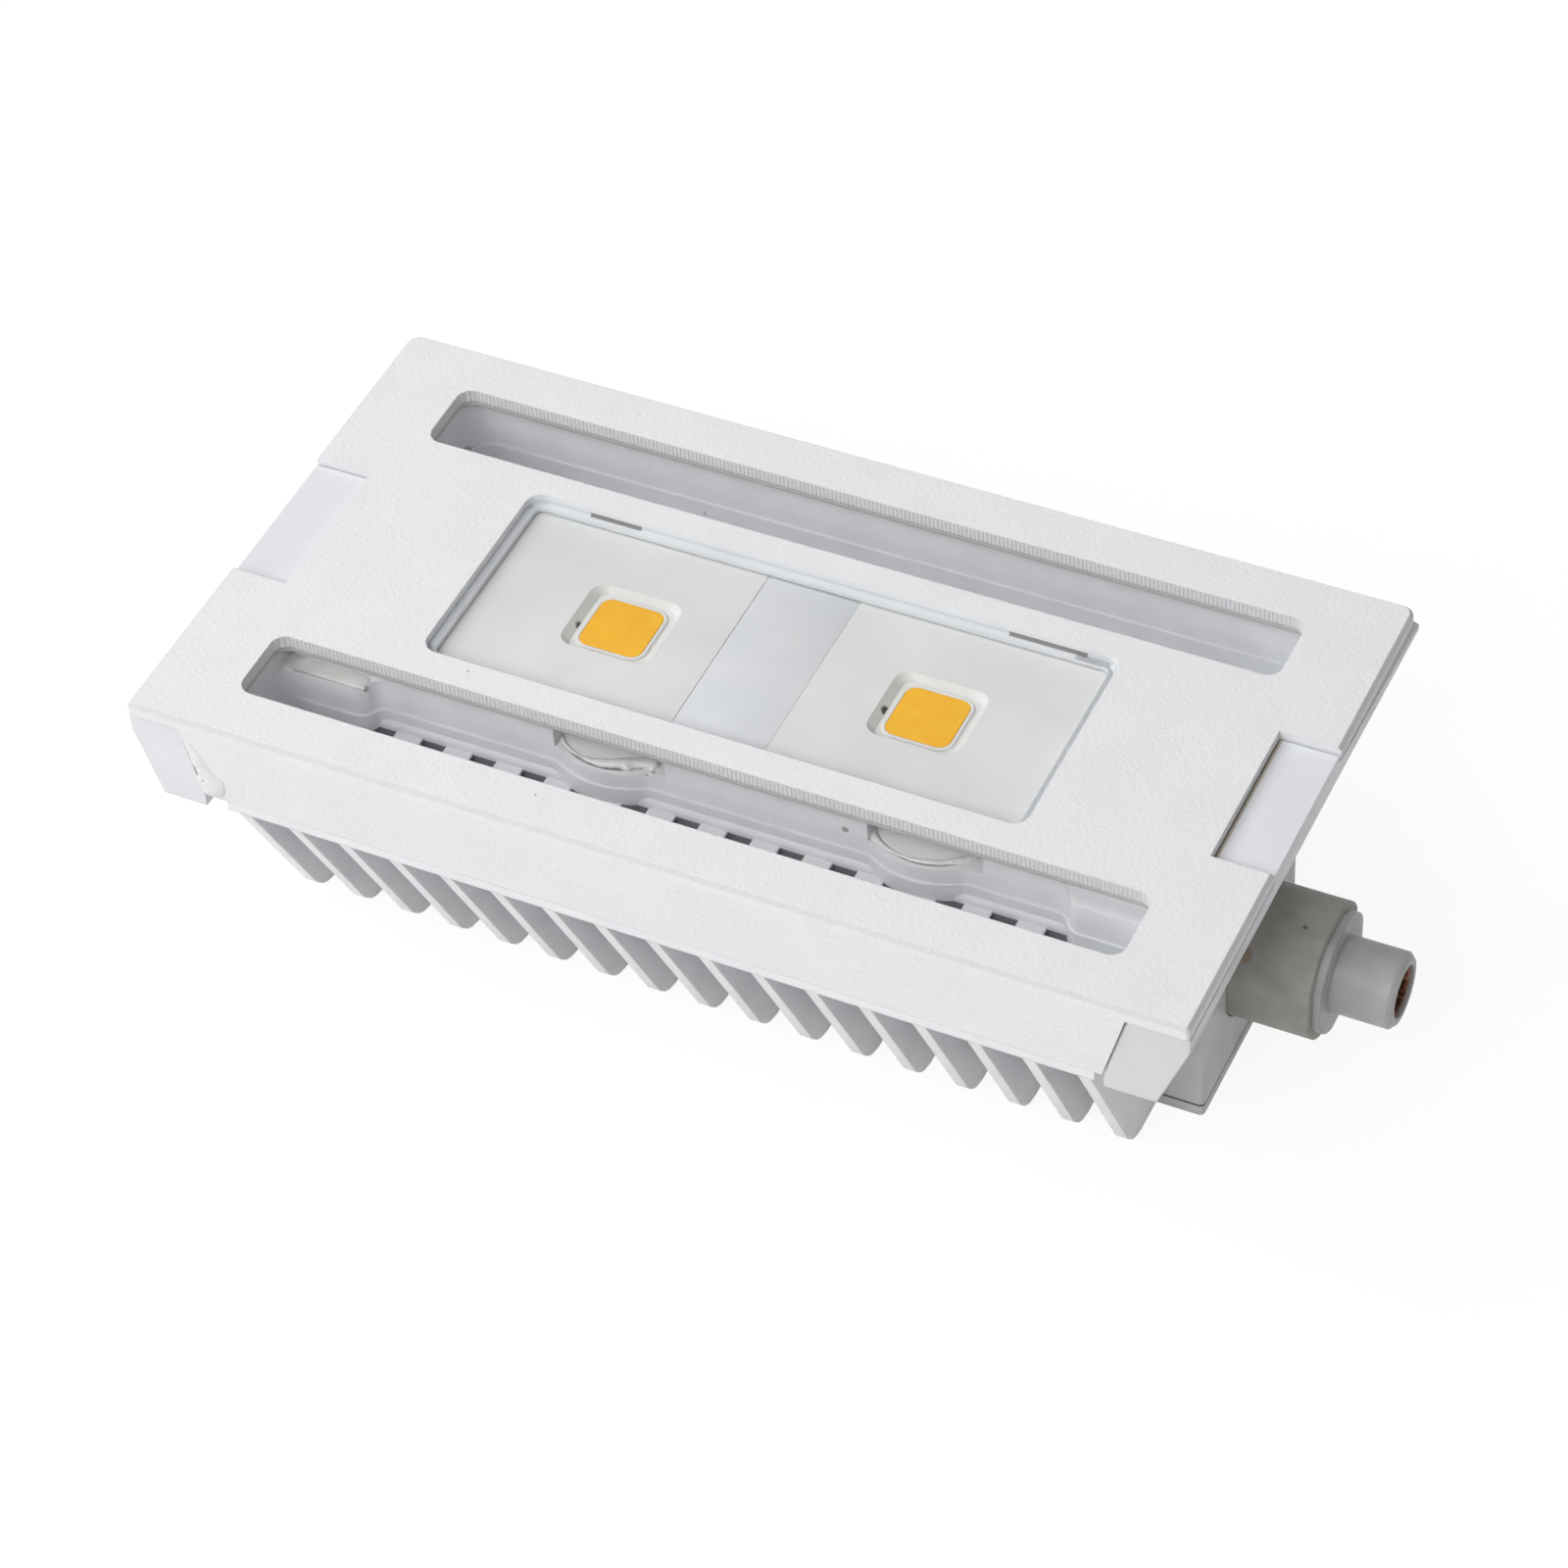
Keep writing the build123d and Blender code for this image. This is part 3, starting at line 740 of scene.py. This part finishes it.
def pick(kind, test):
    # selects the vertices, edges or faces whose middle passes the test, in edit mode
    mesh = bpy.context.object.data
    bpy.ops.mesh.select_mode(type=kind)
    bpy.ops.mesh.select_all(action="DESELECT")
    bpy.ops.object.mode_set(mode="OBJECT")
    rows = {"VERT": mesh.vertices, "EDGE": mesh.edges, "FACE": mesh.polygons}[kind]
    for row in rows:
        corners = [row.co] if kind == "VERT" else [mesh.vertices[i].co for i in row.vertices]
        row.select = bool(test(sum(corners, Vector()) / len(corners)))
    bpy.ops.object.mode_set(mode="EDIT")


def cutAway(place, way):
    # takes off what lies behind a plane and closes the cut, in edit mode
    bpy.ops.mesh.select_all(action="SELECT")
    bpy.ops.mesh.bisect(plane_co=place, plane_no=way, clear_inner=True, use_fill=True)


def applyModifier(kind, **values):
    shape = bpy.context.object
    change = shape.modifiers.new(kind.lower(), kind)
    for key, value in values.items():
        setattr(change, key, value)
    bpy.ops.object.modifier_apply(modifier=change.name)


def settle(name, finish, slotName, *nodes):
    # names a finished piece and ties it to the lamp
    shape = bpy.context.object
    applyPlace()
    bpy.ops.object.shade_smooth_by_angle(angle=math.radians(smoothBelow))
    shape.name = name
    shape.data.name = name
    shape.data.materials.clear()
    shape.data.materials.append(finish)
    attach(shape, "root")
    if nodes:
        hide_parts(*nodes)


# sealant: rough lumps run together into one skin

cornerSealLook = {
    "color": (0.770, 0.772, 0.773),
    "shade": (0.715, 0.714, 0.710),
    "mottleSize": 0.0012,
    "roughness": (0.55, 0.75),
    "edge": 0.0001,
    "grainSize": 0.0005,
    "grainDepth": 0.0001,
    "grainStrength": 0.6,
    "speckSize": 0.0016,
    "speckRadius": 0.00013,
    "speckShare": 0.25,
    "speckColor": (0.40, 0.37, 0.34),
}

cornerSealWhite = startFinish("cornerSealWhite", cornerSealLook)[0]

sealSet = {
    "lumpSpread": (0.9, 1.12),  # how much the lumps differ in size
    "lumpStep": 0.22,  # in mm, along the rim of a plug
    "plugTop": 23.62,
    "soften": 0.5,
    "pulledShare": 0.10,  # of the points, moved at random
    "pulledOut": 0.7,  # how much of that goes straight out
}


def makeSealant(name, look, *nodes):
    dice = random.Random(look["seed"])
    clearPick()
    lumps = []
    for x, y, z, radius in look["lumps"]:
        place = (x * mm, y * mm, z * mm)
        bpy.ops.mesh.primitive_ico_sphere_add(subdivisions=3, radius=radius * mm, location=place)
        lump = bpy.context.object
        lump.scale = [flat * dice.uniform(*sealSet["lumpSpread"]) for flat in look["flat"]]
        lumps.append(lump)
    for lump in lumps:
        lump.select_set(True)
    bpy.ops.object.join()
    applyPlace()
    applyModifier("REMESH", mode="VOXEL", voxel_size=look["voxel"] * mm)
    applyModifier("SMOOTH", factor=sealSet["soften"], iterations=look["smooth"])
    bpy.ops.object.mode_set(mode="EDIT")
    pick("VERT", lambda p: dice.random() < sealSet["pulledShare"])
    bpy.ops.transform.vertex_random(
        offset=look["rough"] * mm, seed=look["seed"], normal=sealSet["pulledOut"]
    )
    bpy.ops.mesh.select_all(action="SELECT")
    bpy.ops.mesh.vertices_smooth(factor=sealSet["soften"], repeat=1)
    cutAway((0, 0, look["low"] * mm), (0, 0, 1))
    cutAway((0, look["front"] * mm, 0), (0, 1, 0))
    bpy.ops.mesh.select_all(action="SELECT")
    bpy.ops.mesh.normals_make_consistent(inside=False)
    bpy.ops.object.mode_set(mode="OBJECT")
    settle(name, look.get("finish", sealantCream), "sealant_cream", *nodes)


def ringLumps(middle, radius, stops):
    # lumps along the rim of a plug, given as angle in degrees, thickness and how far out
    row = []
    for (a0, r0, out0), (a1, r1, out1) in zip(stops, stops[1:]):
        count = max(1, round(math.radians(abs(a1 - a0)) * radius / sealSet["lumpStep"]))
        for i in range(count):
            t = i / count
            angle = math.radians(a0 + (a1 - a0) * t)
            reach = radius + out0 + (out1 - out0) * t
            x = middle[0] + reach * math.cos(angle)
            y = middle[1] + reach * math.sin(angle)
            row.append((x, y, sealSet["plugTop"], r0 + (r1 - r0) * t))
    return row


leftBeadLook = {
    "seed": 4,
    "lumps": ringLumps((-11.4, -7.0), 5.62, [
        (214, 0.30, 0.15), (235, 0.20, 0.10), (256, 0.20, 0.0), (268, 0.38, -0.1),
        (292, 0.58, -0.35), (306, 0.52, -0.2), (318, 0.66, 0.1), (330, 0.45, 0.2),
    ]) + [(-6.6, -11.0, 23.6, 0.55), (-6.3, -11.9, 23.5, 0.35), (-8.6, -12.0, 23.6, 0.45)],
    "flat": (1.0, 1.0, 0.75),
    "voxel": 0.11,
    "smooth": 2,
    "rough": 0.14,
    "low": 23.45,
    "front": -13.6,
}

rightBeadLook = {
    "seed": 9,
    "lumps": ringLumps((18.7, -7.0), 5.75, [
        (216, 0.42, 0.1), (228, 0.40, 0.25), (240, 0.22, 0.1), (262, 0.20, 0.0),
        (282, 0.28, -0.05), (300, 0.32, 0.0), (314, 0.40, 0.15), (328, 0.45, 0.25),
    ]),
    "flat": (1.0, 1.0, 0.75),
    "voxel": 0.10,
    "smooth": 3,
    "rough": 0.08,
    "low": 23.45,
    "front": -13.6,
}

cornerBeadLook = {
    "seed": 14,
    "lumps": [
        (-43.9, -26.40, 26.5, 0.60),
        (-43.6, -26.38, 25.9, 0.70),
        (-43.4, -26.34, 25.2, 0.80),
        (-43.2, -26.30, 24.5, 0.90),
        (-42.9, -26.27, 23.8, 0.98),
        (-42.6, -26.24, 23.1, 1.05),
        (-42.3, -26.22, 22.4, 1.12),
        (-42.1, -26.22, 21.7, 1.12),
        (-43.0, -26.22, 22.2, 1.00),
        (-42.7, -26.22, 21.4, 0.95),
        (-41.6, -26.24, 22.6, 0.75),
    ],
    "flat": (1.0, 0.62, 1.05),
    "voxel": 0.14,
    "smooth": 10,
    "rough": 0.07,
    "low": 20.5,
    "front": -26.95,
    "finish": cornerSealWhite,
}

endBeadLook = {
    "seed": 21,
    # nine pairs of lumps in a row
    "lumps": [(-41.3 + i * 0.85, y, 25.12, 1.0) for i in range(9) for y in (-12.7, -13.6)],
    "flat": (1.15, 1.0, 0.42),
    "voxel": 0.16,
    "smooth": 6,
    "rough": 0.12,
    "low": 25.2,
    "front": -13.83,
}

makeSealant("seal_left_rough", leftBeadLook, "seal_bead_left")
makeSealant("seal_right_rough", rightBeadLook, "seal_bead_right")
makeSealant("corner_seal_rough", cornerBeadLook, "corner_bead")
makeSealant("end_seal_rough", endBeadLook)
print("sealant laid")


# bend between channel wall and deck: a rounded strip along the inner edge of the vents

bendLook = {
    "wallY": 12.05,
    "frontY": 12.85,
    "low": 19.2,
    "high": 20.98,
    "round": 0.53,
    "profile": 0.42,  # how full the round is
    "endRound": 0.15,
    "deckTop": 20.3,
    "halfLength": 34.3,
}


def makeChannelBend(name, side):
    look = bendLook
    clearPick()
    near, far = sorted((side * look["wallY"], side * look["frontY"]))
    addBlock((-look["halfLength"], near, look["low"]), (look["halfLength"], far, look["high"]))
    bpy.ops.object.mode_set(mode="EDIT")
    front, top, end = [(look[key] - nearby) * mm for key in ("frontY", "high", "halfLength")]
    pick("EDGE", lambda p: side * p.y > front and p.z > top)
    bpy.ops.mesh.bevel(offset=look["round"] * mm, segments=3, profile=look["profile"])
    pick("EDGE", lambda p: abs(p.x) > end and p.z > look["deckTop"] * mm)
    bpy.ops.mesh.bevel(offset=look["endRound"] * mm, segments=1)
    bpy.ops.object.mode_set(mode="OBJECT")
    settle(name, castingWhite, "casting_white")


makeChannelBend("channel_bend_front", -1)
makeChannelBend("channel_bend_back", 1)
print("channel bends in")


# rib face: the flat strip between the two reflector frames

ribFaceLook = {
    "left": -5.26,
    "right": 3.66,
    "halfWidth": 10.9,
    "low": 27.9,
    "high": 27.99,
    "round": 0.03,
    "color": (0.765, 0.768, 0.778),
    "shade": (0.745, 0.748, 0.757),
    "mottleSize": 0.004,
    "roughness": (0.62, 0.75),
    "edge": 0.00004,
    "grainSize": 0.0006,
    "grainDepth": 0.00002,
    "grainStrength": 0.3,
}


def makeRibFace():
    look = ribFaceLook
    clearPick()
    left, right, side = look["left"], look["right"], look["halfWidth"]
    addBlock((left, -side, look["low"]), (right, side, look["high"]))
    bpy.ops.object.mode_set(mode="EDIT")
    pick("EDGE", lambda p: p.z > (look["high"] - nearby) * mm)
    bpy.ops.mesh.bevel(offset=look["round"] * mm, segments=2)
    bpy.ops.object.mode_set(mode="OBJECT")
    settle("rib_face", startFinish("ribGrey", look)[0], "casting_white")


makeRibFace()
print("rib face in")


# dam: soft white ring round each phosphor square

damLook = {
    "x": 14.8,
    "size": 6.8,
    "width": 0.32,
    "corner": 1.4,
    "low": 27.3,
    "height": 0.17,
    "round": 0.07,
}


def makeDam(name, x):
    clearPick()
    place = (x * mm, 0, damLook["low"] * mm)
    bpy.ops.mesh.primitive_plane_add(size=damLook["size"] * mm, location=place)
    applyPlace()
    bpy.ops.object.mode_set(mode="EDIT")
    bpy.ops.mesh.select_all(action="SELECT")
    bpy.ops.mesh.bevel(offset=damLook["corner"] * mm, segments=6, affect="VERTICES")
    bpy.ops.mesh.select_all(action="SELECT")
    bpy.ops.mesh.inset(thickness=damLook["width"] * mm)
    bpy.ops.mesh.delete(type="FACE")
    bpy.ops.mesh.select_all(action="SELECT")
    rise = (0, 0, damLook["height"] * mm)
    bpy.ops.mesh.extrude_region_move(TRANSFORM_OT_translate={"value": rise})
    bpy.ops.mesh.select_all(action="SELECT")
    bpy.ops.mesh.normals_make_consistent(inside=False)
    bpy.ops.object.mode_set(mode="OBJECT")
    applyModifier("BEVEL", width=damLook["round"] * mm, segments=3, limit_method="ANGLE")
    settle(name, boardWhite, "board_white")


makeDam("dam_left", -damLook["x"])
makeDam("dam_right", damLook["x"])
print("dams round the light sources")


# lid screws: pan heads with a cross recess, and plain shanks

lidScrewLook = {
    "x": 42.2,
    "y": 8.5,
    "headRadius": 1.68,
    "headLow": 0.2,
    "headHigh": 1.0,
    "edge": 0.35,
    "shankRadius": 0.85,
    "shankTop": 24.2,
    "pointLength": 0.6,
    "pointTaper": 0.4,
    "crossLength": 1.9,
    "crossWidth": 0.42,
    "crossDepth": 0.5,
    "turns": ((-1, -1, 20), (1, -1, 65), (-1, 1, 5), (1, 1, 40)),  # side in x, side in y, degrees
}


def makeLidScrews():
    look = lidScrewLook
    clearPick()
    bpy.ops.mesh.primitive_cylinder_add(
        vertices=32,
        radius=look["headRadius"] * mm,
        depth=(look["headHigh"] - look["headLow"]) * mm,
        location=(0, 0, (look["headHigh"] + look["headLow"]) / 2 * mm),
    )
    screw = bpy.context.object
    applyPlace()
    bpy.ops.object.mode_set(mode="EDIT")
    pick("FACE", lambda p: p.z > (look["headHigh"] - nearby) * mm)
    bpy.ops.mesh.inset(thickness=(look["headRadius"] - look["shankRadius"]) * mm)
    straight = look["shankTop"] - look["headHigh"] - look["pointLength"]
    for length in (straight, look["pointLength"]):
        bpy.ops.mesh.extrude_region_move(TRANSFORM_OT_translate={"value": (0, 0, length * mm)})
    bpy.ops.transform.resize(value=(look["pointTaper"], look["pointTaper"], 1))
    pick("EDGE", lambda p: p.z < (look["headLow"] + nearby) * mm)
    bpy.ops.mesh.bevel(offset=look["edge"] * mm, segments=4)
    bpy.ops.object.mode_set(mode="OBJECT")
    long, thin = look["crossLength"] / 2, look["crossWidth"] / 2
    low, high = look["headLow"] - look["crossDepth"], look["headLow"] + look["crossDepth"]
    for x, y in ((long, thin), (thin, long)):
        clearPick()
        addBlock((-x, -y, low), (x, y, high))
        tool = bpy.context.object
        clearPick()
        bpy.context.view_layer.objects.active = screw
        screw.select_set(True)
        applyModifier("BOOLEAN", operation="DIFFERENCE", object=tool, solver="EXACT")
        bpy.data.objects.remove(tool)
    clearPick()
    screw.select_set(True)
    bpy.context.view_layer.objects.active = screw
    copies = []
    for x, y, turn in look["turns"]:
        copy = screw.copy()
        copy.data = screw.data.copy()
        copy.location = (x * look["x"] * mm, y * look["y"] * mm, 0)
        copy.rotation_euler = (0, 0, math.radians(turn))
        scene.collection.objects.link(copy)
        copies.append(copy)
    bpy.data.objects.remove(screw)
    for copy in copies:
        copy.select_set(True)
    bpy.context.view_layer.objects.active = copies[0]
    bpy.ops.object.join()
    settle("lid_screws_cross", screwSteel, "screw_steel", "lid_screws")


makeLidScrews()
print("screws in the lid")


# contact rim: ragged ring of copper at the mouth of each contact recess

rimLook = {
    "radius": 2.42,
    "inner": 0.84,
    "mouth": 58.62,
    "axisZ": 10.8,
    "wall": 0.08,
    "depth": 0.5,
    "ragged": 0.16,
    "seed": 5,
}


def makeContactRim(name, side):
    clearPick()
    bpy.ops.mesh.primitive_circle_add(
        vertices=48,
        radius=rimLook["radius"] * mm,
        location=(side * rimLook["mouth"] * mm, 0, rimLook["axisZ"] * mm),
        rotation=(0, math.radians(90), 0),
    )
    applyPlace()
    bpy.ops.object.mode_set(mode="EDIT")
    bpy.ops.mesh.select_all(action="SELECT")
    bpy.ops.mesh.extrude_region_move(TRANSFORM_OT_translate={"value": (0, 0, 0)})
    bpy.ops.transform.resize(value=(1, rimLook["inner"], rimLook["inner"]))
    bpy.ops.transform.vertex_random(offset=rimLook["ragged"] * mm, seed=rimLook["seed"])
    bpy.ops.mesh.extrude_region_move(
        TRANSFORM_OT_translate={"value": (-side * rimLook["depth"] * mm, 0, 0)}
    )
    bpy.ops.mesh.select_all(action="SELECT")
    bpy.ops.mesh.normals_make_consistent(inside=False)
    bpy.ops.object.mode_set(mode="OBJECT")
    applyModifier("SOLIDIFY", thickness=rimLook["wall"] * mm, offset=0)
    settle(name, rimCopper, "contact_brass")


makeContactRim("contact_rim_right", 1)
makeContactRim("contact_rim_left", -1)
print("contact rims in")


# floor, sky and lamps

stageSet = {
    "floorSize": 3.0,
    "floorColor": 0.84,
    "floorGlow": 0.86,  # how much of the floor seen by the camera is plain white
    "floorWhite": 1.05,
    "sky": 0.30,
    "lamps": {
        "left": {"place": (-0.70, -0.10, 0.65), "size": 0.5, "power": 4.6},
        "front": {"place": (-0.10, -0.70, 0.70), "size": 0.5, "power": 4.7},
        "low": {"place": (-0.35, -0.75, 0.40), "size": 0.35, "power": 0.55},
        "top": {"place": (0.0, 0.0, 0.90), "size": 0.9, "power": 0.3},
        "right": {"place": (0.70, -0.50, 0.40), "size": 0.5, "power": 0.1},
    },
}


def seenDirectly(tree):
    # one for rays from the camera, and for those that a gloss or glass sends on
    path = tree.nodes.new("ShaderNodeLightPath")
    both = calc(tree, "MAXIMUM", path.outputs["Is Camera Ray"], path.outputs["Is Glossy Ray"])
    return calc(tree, "MAXIMUM", both, path.outputs["Is Transmission Ray"])


def addFloor():
    bpy.ops.mesh.primitive_plane_add(size=stageSet["floorSize"], location=(0, 0, 0))
    floor = bpy.context.object
    floor.name = "floor"
    finish = bpy.data.materials.new("floorWhite")
    finish.use_nodes = True
    tree = finish.node_tree
    tree.nodes.remove(tree.nodes["Principled BSDF"])
    matte = makeNode(tree, "ShaderNodeBsdfDiffuse", Color=(*[stageSet["floorColor"]] * 3, 1))
    glow = makeNode(tree, "ShaderNodeEmission", Color=(1, 1, 1, 1), Strength=stageSet["floorWhite"])
    mixed = tree.nodes.new("ShaderNodeMixShader")
    share = calc(tree, "MULTIPLY", seenDirectly(tree), stageSet["floorGlow"])
    tree.links.new(share, mixed.inputs[0])
    tree.links.new(matte.outputs[0], mixed.inputs[1])
    tree.links.new(glow.outputs[0], mixed.inputs[2])
    tree.links.new(mixed.outputs[0], tree.nodes["Material Output"].inputs["Surface"])
    floor.data.materials.append(finish)


def addSky():
    # plain white where it is seen, dimmer where it only gives light
    world = bpy.data.worlds.new("sky")
    world.use_nodes = True
    tree = world.node_tree
    back = tree.nodes["Background"]
    back.inputs["Color"].default_value = (1, 1, 1, 1)
    level = stretch(tree, seenDirectly(tree), 0, 1, stageSet["sky"], 1.0)
    tree.links.new(level, back.inputs["Strength"])
    scene.world = world


def addLamp(name, look):
    data = bpy.data.lights.new(name, "AREA")
    data.shape = "SQUARE"
    data.size = look["size"]
    data.energy = look["power"]
    lamp = bpy.data.objects.new(name, data)
    lamp.location = look["place"]
    aim = -lamp.location
    lamp.rotation_euler = aim.to_track_quat("-Z", "Y").to_euler()
    scene.collection.objects.link(lamp)


addFloor()
addSky()
for lampName, lampLook in stageSet["lamps"].items():
    addLamp(lampName, lampLook)
scene.view_settings.view_transform = "Standard"
print("floor, sky and lamps set")
